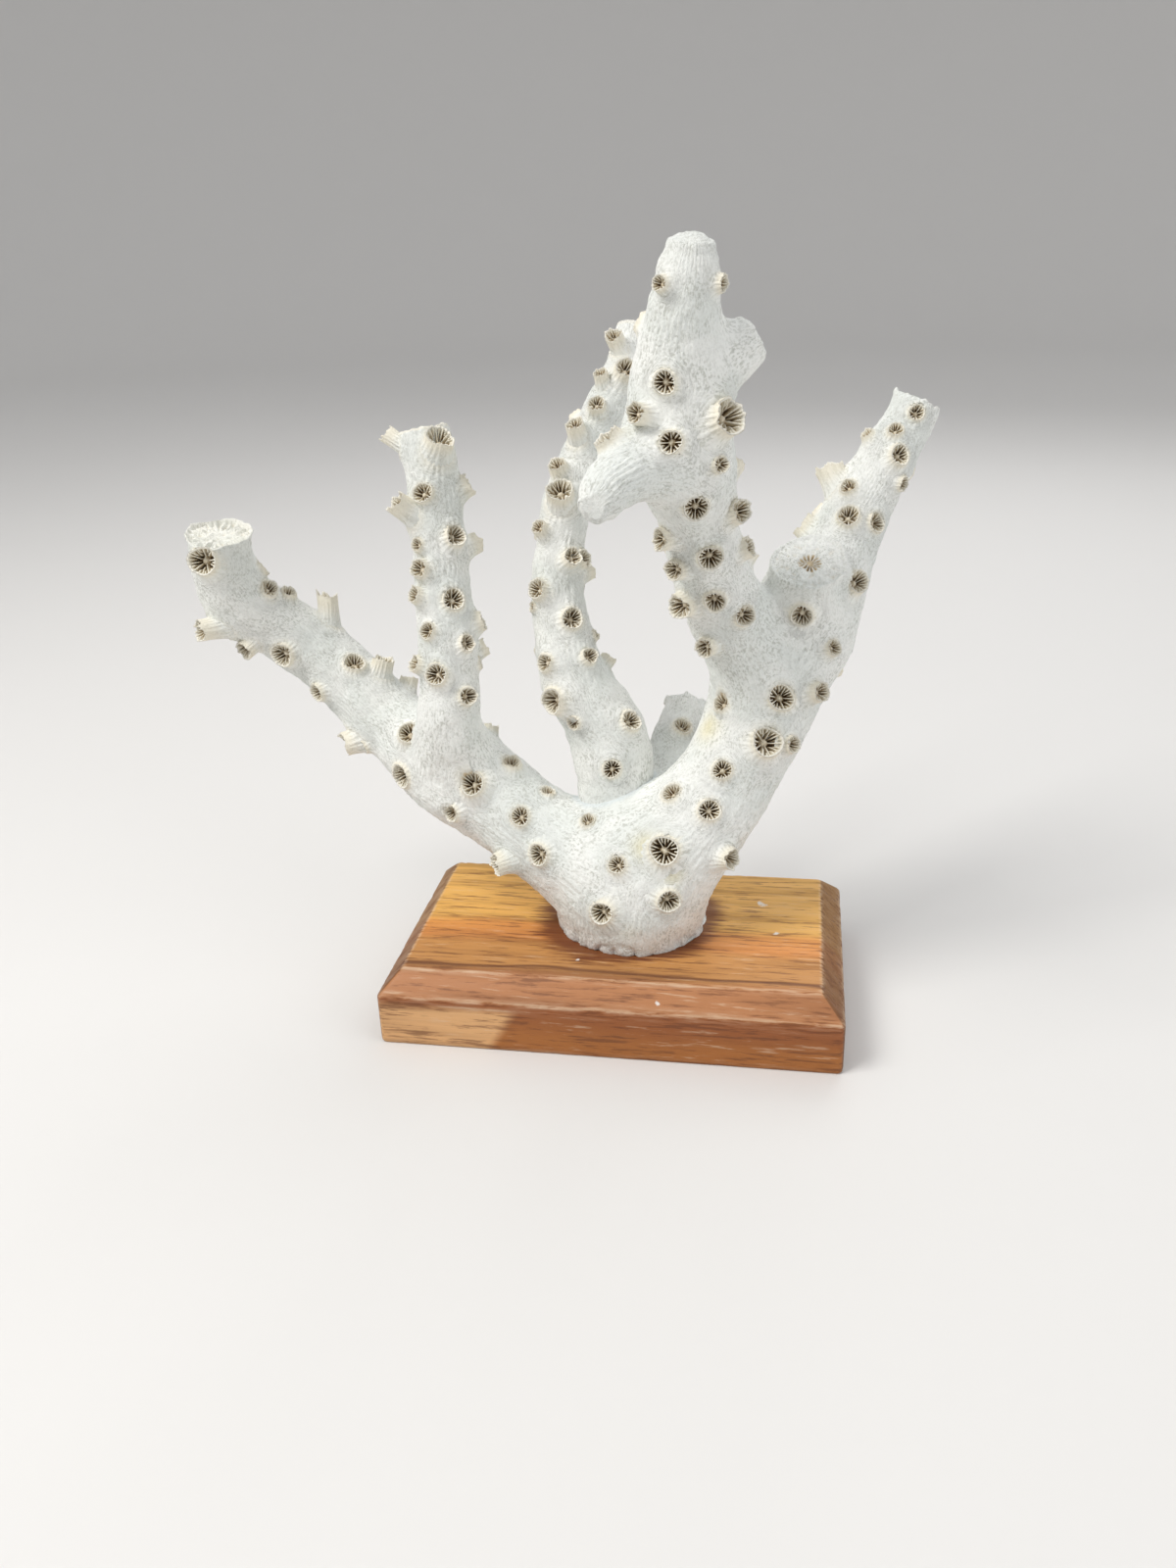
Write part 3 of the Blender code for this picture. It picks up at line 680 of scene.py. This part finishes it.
chalk = {
    # pore is painted shade, a grey-green darkening of the low spots between grains and ribs
    "white": (0.87, 0.88, 0.85), "cool": (0.79, 0.815, 0.785), "poreShade": (0.42, 0.43, 0.38),
    # cream and rim are the cups' walls and lips; tan and deep colour the pits, partly their own brown and partly
    # painted shade down in them
    "cream": (0.84, 0.78, 0.63), "rim": (0.90, 0.88, 0.80), "tan": (0.66, 0.55, 0.38),
    "deep": (0.20, 0.12, 0.055), "stain": (0.76, 0.68, 0.36), "glue": (0.66, 0.72, 0.74),
    # noises: scale, detail, roughness and stretch, and the shares of the first two in the relief
    "ribs": (1.0, 3, 0.55, (2.7, 2.7, 1.0)), "grains": (1750, 3, 0.6), "shares": (0.55, 0.45),
    "patches": 70, "patchRange": (0.42, 0.62), "fades": 190, "fadeRange": (0.36, 0.62, 0.35, 1),
    # where each colour begins and is full, and its least and greatest share
    "poreShadeRange": (0.54, 0.40, 0, 0.62), "creamRange": (0.08, 0.8, 0, 0.75), "rimRange": (0.85, 1, 0, 0.9),
    "tanAndShadeRange": (0.05, 0.5), "deepAndShadeRange": (0.5, 1, 0, 0.9), "stainShare": 0.55, "glueShare": 0.7,
    "rough": 0.88, "shine": 0.25, "bump": 0.9, "relief": 0.00055,
}


def chalkMaterial(look):
    # White granular skeleton: cool patches, streaks along the flow, painted shade in the pores, cream walls, and pits
    # coloured tan to dark brown, partly their own brown and partly painted shade
    material, tree, shader = nodeTree("coral_chalk")
    place = tree.nodes.new("ShaderNodeTexCoord").outputs["Object"]
    marks = attribute(tree, "wearAndPaintedLight")
    pale, deep, stain = feed(tree, tree.nodes.new("ShaderNodeSeparateColor"), {0: marks["Color"]}).outputs
    ribs = noiseNode(tree, attribute(tree, "flow")["Vector"], *look["ribs"])
    grains = noiseNode(tree, place, *look["grains"])
    height = maths(tree, "ADD", times(tree, ribs, look["shares"][0]), times(tree, grains, look["shares"][1]))
    fades = remap(tree, noiseNode(tree, place, look["fades"]), *look["fadeRange"])
    layers = {
        "cool": remap(tree, noiseNode(tree, place, look["patches"]), *look["patchRange"]),
        # painted shade in the pores, where the relief is low
        "poreShade": times(tree, remap(tree, height, *look["poreShadeRange"]), fades),
        "cream": remap(tree, pale, *look["creamRange"]), "rim": remap(tree, pale, *look["rimRange"]),
        "stain": times(tree, stain, look["stainShare"]),
        "glue": times(tree, marks["Alpha"], look["glueShare"]),
        # the pits' tan and dark brown, partly their own colour and partly painted shade
        "tan": remap(tree, deep, *look["tanAndShadeRange"]), "deep": remap(tree, deep, *look["deepAndShadeRange"]),
    }
    body = look["white"]
    for colour, share in layers.items():
        body = mixColour(tree, share, body, look[colour])
    finishShader(tree, shader, look, body, look["rough"], height)
    return material


coralChalk = chalkMaterial(chalk)

trunk = {"node": "trunk", "stretches": [("foot", 1.0, None), ("left", 0, 34), ("right", 0, 31), ("stub", 0, 16)]}
leftBranch = {"node": "left_branch", "stretches": [("left", 34, None), ("upright", 0, 19)]}
leftUpright = {"node": "left_upright", "stretches": [("upright", 19, None)]}
middleBranch = {"node": "middle_branch", "stretches": [("middle", 0, None)]}
rightBranch = {"node": "right_branch", "stretches": [("right", 31, None), ("lobe", 0, None), ("front", 0, 17)]}
frontBranch = {"node": "front_branch", "stretches": [("front", 17, None), ("knob", 0, None), ("spur", 0, None)]}
backStub = {"node": "back_stub", "stretches": [("stub", 16, None)]}
for look in (trunk, leftBranch, leftUpright, middleBranch, rightBranch, frontBranch, backStub):
    coralPiece(look, coralChalk)
print("coral done")

board = {"width": 108, "depth": 64, "height": 18, "chamfer": 5.2, "corner": 1.3, "arris": 0.55, "chip": 0.3}


def boardShell(look):
    # A profile carried round a rounded rectangle: up the side, round the arris, up the chamfer and over the top.
    # The arrises are rubbed back unevenly by a little noise, and the same rows are marked for a painted highlight along
    # each arris.
    cut, worn, high = look["chamfer"], look["arris"], look["height"]
    low = high - cut
    # inset from the side, height, and how much the edge is rubbed there, which also sets the painted highlight there
    profile = np.array([(3.0, 0, 0), (worn + 0.4, 0, 0), (0.25, 0.12, 0.4), (0.05, 0.5, 0.4), (0, 1.5, 0), (0, 4, 0),
                        (0, 7, 0), (0, 9.5, 0), (0, low - worn, 0.3), (0.06, low - 0.2, 1), (0.25, low + 0.14, 1),
                        (0.6, low + 0.6, 0.3), (cut * 0.3, low + cut * 0.3, 0), (cut * 0.55, low + cut * 0.55, 0),
                        (cut * 0.8, low + cut * 0.8, 0), (cut - 0.5, high - 0.52, 0.3), (cut - 0.12, high - 0.2, 1),
                        (cut + 0.25, high - 0.04, 1), (cut + 0.8, high, 0), (cut + 3, high, 0), (cut + 6, high, 0),
                        (cut + 10, high, 0), (cut + 15, high, 0), (cut + 21, high, 0)])
    corner = look["corner"]
    halfX, halfY = look["width"] / 2 - corner, look["depth"] / 2 - corner
    centres = np.array([(halfX, halfY), (-halfX, halfY), (-halfX, -halfY), (halfX, -halfY)])
    pieces = []
    for k in range(4):
        angle = np.linspace(0, np.pi / 2, 8) + k * np.pi / 2
        here, there = centres[k], centres[(k + 1) % 4]
        run = np.linspace(0, 1, int(np.abs(there - here).sum() / 0.8))[1:-1, None]
        bend = here + corner * np.stack([np.cos(angle), np.sin(angle)], axis=-1)
        side = here + (there - here) * run + corner * np.array([np.cos(angle[-1]), np.sin(angle[-1])])
        pieces += [bend, side]
    loop = np.vstack(pieces)[None]
    inset, z, rubAndHighlight = profile[:, 0, None], profile[:, 1, None], profile[:, 2, None]
    half = np.array([look["width"] / 2, look["depth"] / 2])
    flat = loop * (half - inset[..., None]) / half
    points = np.concatenate([flat, z[..., None] + 0 * flat[..., :1]], axis=-1)
    chip = look["chip"] * rubAndHighlight * np.clip(noise(points, 3.0, 21) + 0.7 * noise(points, 0.9, 22), 0, 1)
    points = points - unit(points) * chip[..., None]
    points[..., 2] = np.maximum(points[..., 2], 0)
    toEnd, toFront = half[0] - np.abs(points[..., 0]), half[1] - np.abs(points[..., 1])
    isEnd = (toEnd < toFront) & (toEnd < cut + 0.1)
    wearAndPaintedLight = np.stack([rubAndHighlight + 0 * chip, 0 * chip, isEnd * 1.0, 0 * chip], axis=-1)
    return closedShell(points, wearAndPaintedLight, points * 1.0)


timber = {
    # bands over the depth of the board: y in mm and colour, from front to back; the honey band at y 12 is brightened
    # with a painted varnish sheen
    "bands": [(-32, (0.42, 0.18, 0.073)), (-27, (0.44, 0.19, 0.078)), (-24, (0.48, 0.23, 0.078)),
              (-21, (0.52, 0.25, 0.080)), (-14, (0.54, 0.255, 0.075)), (-11, (0.62, 0.25, 0.066)),
              (-4, (0.68, 0.29, 0.07)), (-1, (0.75, 0.41, 0.10)), (12, (0.85, 0.48, 0.13)),
              (32, (0.78, 0.44, 0.12))],
    "front": (0.29, 0.095, 0.03), "frontLow": (0.38, 0.14, 0.036), "sap": (0.74, 0.43, 0.20),
    # the pale colour of the light fibres also paints the highlight along the arrises
    "vein": (0.13, 0.045, 0.02), "paleAndHighlight": (0.70, 0.52, 0.36), "end": (0.175, 0.08, 0.033), "glueAndShadow": (0.14, 0.035, 0.012),
    "speck": (0.75, 0.72, 0.68),
    # noises: scale, detail, roughness and stretch
    "broad": (60, 3, 0.55, (0.3, 1, 1)), "fibre": (950, 4, 0.65, (0.09, 1, 1)), "streak": (260, 3, 0.6, (0.05, 1, 1)),
    "blot": (700, 2, 0.5), "drift": 0.0075,  # how far the bands wander, m
    # where each colour begins and is full, in m or in the noise's value, and its least and greatest share
    "lowRange": (0.011, 0.003), "sapSlope": 0.6, "sapSide": (-0.0265, -0.0305), "sapTop": (0.0115, 0.0085),
    "sapShare": 0.9, "faceRange": (0.0131, 0.0123), "endShare": 0.8, "streakRange": (0.45, 0.72, 0, 0.4),
    "gapRange": (0.48, 0.36, 0, 0.6), "lightRange": (0.58, 0.70, 0, 0.4), "topRange": (0.0170, 0.0175),
    "crackAt": -0.0236, "crackRange": (0.0010, 0.0001), "crackShare": 0.8,
    # glue with a painted shadow round the coral's foot: its middle, where it fades, its wander, fray and share
    "glueShadowMiddle": (0.002, 0.003, 0.018), "glueShadowRange": (0.0252, 0.0200), "glueShadowDrift": 1.6, "glueShadowFray": 0.012,
    "glueShadowShare": 0.85, "arrisHighlightRange": (0.42, 0.6), "arrisHighlightShare": 0.5,
    "specks": [(34, 12, 18, 1.3), (38, -2, 18, 0.8), (-8, -19, 18, 0.6), (12, -30, 14.6, 0.6), (54, -21, 11, 1.4)],
    "speckFray": 2.4, "speckShare": 0.85,  # the specks above are x y z radius in mm
    "roughRange": (0.3, 0.7, 0.42, 0.62), "shine": 0.3, "bump": 0.5, "relief": 0.0003, "streakRelief": 0.8,
}


def woodMaterial(look):
    # Straight-grained hardwood along X. The top runs from honey at the back, partly a painted varnish sheen, to brown
    # at the front, with a dark vein near the front edge. The front face is darker above and has a pale patch at its
    # lower left. A painted highlight runs along the rubbed arrises, and glue with painted shadow darkens the top round
    # the foot.
    material, tree, shader = nodeTree("plaque_wood")
    place = tree.nodes.new("ShaderNodeTexCoord").outputs["Object"]
    split = feed(tree, tree.nodes.new("ShaderNodeSeparateColor"), {0: attribute(tree, "wearAndPaintedLight")["Color"]})
    rubbedAndHighlight, ends = split.outputs[0], split.outputs[2]
    x, y, z = feed(tree, tree.nodes.new("ShaderNodeSeparateXYZ"), {0: place}).outputs
    broad, fibre, streak = (noiseNode(tree, place, *look[key]) for key in ("broad", "fibre", "streak"))
    drift = times(tree, maths(tree, "SUBTRACT", broad, 0.5), look["drift"])
    shifted, raised = maths(tree, "ADD", y, drift), maths(tree, "ADD", z, drift)
    steps = tree.nodes.new("ShaderNodeValToRGB")
    half = look["bands"][-1][0]
    tree.links.new(remap(tree, shifted, -half * mm, half * mm, smooth=False), steps.inputs[0])
    for k, (at, colour) in enumerate(look["bands"]):
        stop = steps.color_ramp.elements[k] if k < 2 else steps.color_ramp.elements.new(0.5)
        stop.position = (at + half) / (2 * half)
        stop.color = (*colour, 1)
    face = mixColour(tree, remap(tree, raised, *look["lowRange"]), look["front"], look["frontLow"])
    slope = maths(tree, "SUBTRACT", maths(tree, "ADD", x, drift), times(tree, z, look["sapSlope"]))
    sap = times(tree, remap(tree, slope, *look["sapSide"]), remap(tree, raised, *look["sapTop"]))
    face = mixColour(tree, times(tree, sap, look["sapShare"]), face, look["sap"])
    body = mixColour(tree, remap(tree, z, *look["faceRange"]), steps.outputs[0], face)

    light = times(tree, remap(tree, fibre, *look["lightRange"]), maths(tree, "SUBTRACT", 1.0, ends))
    onTop = remap(tree, z, *look["topRange"])
    crack = maths(tree, "ABSOLUTE", maths(tree, "SUBTRACT", shifted, look["crackAt"]))
    vein = times(tree, remap(tree, crack, *look["crackRange"]), onTop)
    # glue and painted shadow on the top, fading outward from the coral's foot
    edge = maths(tree, "ADD", distanceTo(tree, place, look["glueShadowMiddle"]), times(tree, drift, look["glueShadowDrift"]))
    edge = maths(tree, "ADD", edge, times(tree, maths(tree, "SUBTRACT", fibre, 0.5), look["glueShadowFray"]))
    glueAndShadow = times(tree, remap(tree, edge, *look["glueShadowRange"]), onTop)
    # painted highlight along the rubbed arrises, broken up by the fibres
    arrisHighlight = times(tree, rubbedAndHighlight, remap(tree, fibre, *look["arrisHighlightRange"]))
    layers = [
        (times(tree, ends, look["endShare"]), "end"), (remap(tree, streak, *look["streakRange"]), "vein"),
        (remap(tree, fibre, *look["gapRange"]), "vein"), (light, "paleAndHighlight"),
        (times(tree, vein, look["crackShare"]), "vein"), (times(tree, glueAndShadow, look["glueShadowShare"]), "glueAndShadow"),
        (times(tree, arrisHighlight, look["arrisHighlightShare"]), "paleAndHighlight"),
    ]
    blot = maths(tree, "SUBTRACT", noiseNode(tree, place, *look["blot"]), 0.5)
    for *middle, radius in look["specks"]:
        ragged = maths(tree, "ADD", distanceTo(tree, place, [k * mm for k in middle]),
                       times(tree, blot, radius * mm * look["speckFray"]))
        layers.append((remap(tree, ragged, radius * mm, radius * mm * 0.5, 0, look["speckShare"]), "speck"))
    for share, colour in layers:
        body = mixColour(tree, share, body, look[colour])
    height = maths(tree, "ADD", fibre, times(tree, streak, look["streakRelief"]))
    height = maths(tree, "SUBTRACT", height, vein)
    finishShader(tree, shader, look, body, remap(tree, streak, *look["roughRange"]), height)
    return material


plaque = joinShells("wooden_plaque", [boardShell(board)], woodMaterial(timber))
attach(plaque, "root")
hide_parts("plaque")
print("plaque done")

# The camera: its place, its lens and the width of its film in mm, and its angles in degrees
view = {"place": (39.36, -267.81, 176.46), "yaw": 9.91, "pitch": 24.08, "roll": -1.96, "lens": 28.8, "film": 36}


def photoCamera(look):
    # Turned left by yaw, down by pitch, and rolled, as fitted to the plaque's corners
    yaw, pitch, roll = (math.radians(look[k]) for k in ("yaw", "pitch", "roll"))
    ahead = Vector((-math.sin(yaw) * math.cos(pitch), math.cos(yaw) * math.cos(pitch), -math.sin(pitch)))
    right = Vector((math.cos(yaw), math.sin(yaw), 0))
    up = right.cross(ahead)
    rolledRight = right * math.cos(roll) + up * math.sin(roll)
    rolledUp = up * math.cos(roll) - right * math.sin(roll)
    data = bpy.data.cameras.new("camera")
    data.lens = look["lens"]
    data.sensor_width = look["film"]
    data.clip_start = 0.01
    camera = bpy.data.objects.new("camera", data)
    turned = Matrix((rolledRight, rolledUp, -ahead)).transposed().to_4x4()
    camera.matrix_world = Matrix.Translation(Vector(look["place"]) * mm) @ turned
    bpy.context.scene.collection.objects.link(camera)
    bpy.context.scene.camera = camera


studio = {
    "floor": (0.72, 0.71, 0.695), "rough": 0.8, "sky": (0.97, 0.98, 1), "skyPower": 0.70,
    "flat": 1.7, "curve": 0.9, "wall": 2.6, "sides": 96,  # the floor's radii and height in metres
    "aim": (0, 0, 0.08),
    # name, place, size, power and colour of each soft light, all aimed at the coral
    "lights": [("key", (-0.45, -0.35, 0.75), 0.4, 5.8, (1, 0.98, 0.95)),
               ("fill", (0.7, -0.3, 0.35), 0.6, 1.8, (0.97, 0.98, 1)),
               ("back", (0.15, 0.6, 0.6), 0.5, 1.6, (1, 1, 1))],
}


def makeStudio(look):
    # A round floor that curves up into a wall: a profile of radius and height turned about the upright axis
    bend = np.linspace(0, np.pi / 2, 16)
    radius = np.concatenate([[0.3, 0.8, look["flat"]], look["flat"] + look["curve"] * np.sin(bend[1:]),
                             [look["flat"] + look["curve"]]])
    height = np.concatenate([[0, 0, 0], look["curve"] * (1 - np.cos(bend[1:])), [look["wall"]]])
    sides = look["sides"]
    turn = np.linspace(0, 2 * np.pi, sides, endpoint=False)
    rings = np.stack([radius[:, None] * np.cos(turn), radius[:, None] * np.sin(turn), height[:, None] + 0 * turn],
                     axis=-1)
    count = rings.shape[0] * sides
    faces = [tuple(face) for face in gridFaces(rings.shape[0], sides)[:, ::-1].tolist()]
    faces += [(k, (k + 1) % sides, count) for k in range(sides)]
    floorMesh = bpy.data.meshes.new("floor")
    floorMesh.from_pydata(np.vstack([rings.reshape(-1, 3), np.zeros((1, 3))]).tolist(), [], faces)
    floorMesh.shade_smooth()
    floor = bpy.data.objects.new("floor", floorMesh)
    bpy.context.scene.collection.objects.link(floor)
    material, tree, shader = nodeTree("floor_pale")
    feed(tree, shader, {"Base Color": look["floor"], "Roughness": look["rough"]})
    floorMesh.materials.append(material)
    world = bpy.data.worlds.new("studio")
    world.use_nodes = True
    feed(world.node_tree, world.node_tree.nodes["Background"], {"Color": look["sky"], "Strength": look["skyPower"]})
    bpy.context.scene.world = world
    for name, place, size, power, colour in look["lights"]:
        data = bpy.data.lights.new(name, "AREA")
        data.size = size
        data.energy = power
        data.color = colour
        lamp = bpy.data.objects.new(name, data)
        lamp.location = place
        lamp.rotation_mode = "QUATERNION"
        lamp.rotation_quaternion = (Vector(look["aim"]) - Vector(place)).to_track_quat("-Z", "Y")
        bpy.context.scene.collection.objects.link(lamp)
    bpy.context.scene.view_settings.view_transform = "Standard"


photoCamera(view)
makeStudio(studio)
print("scene ready")
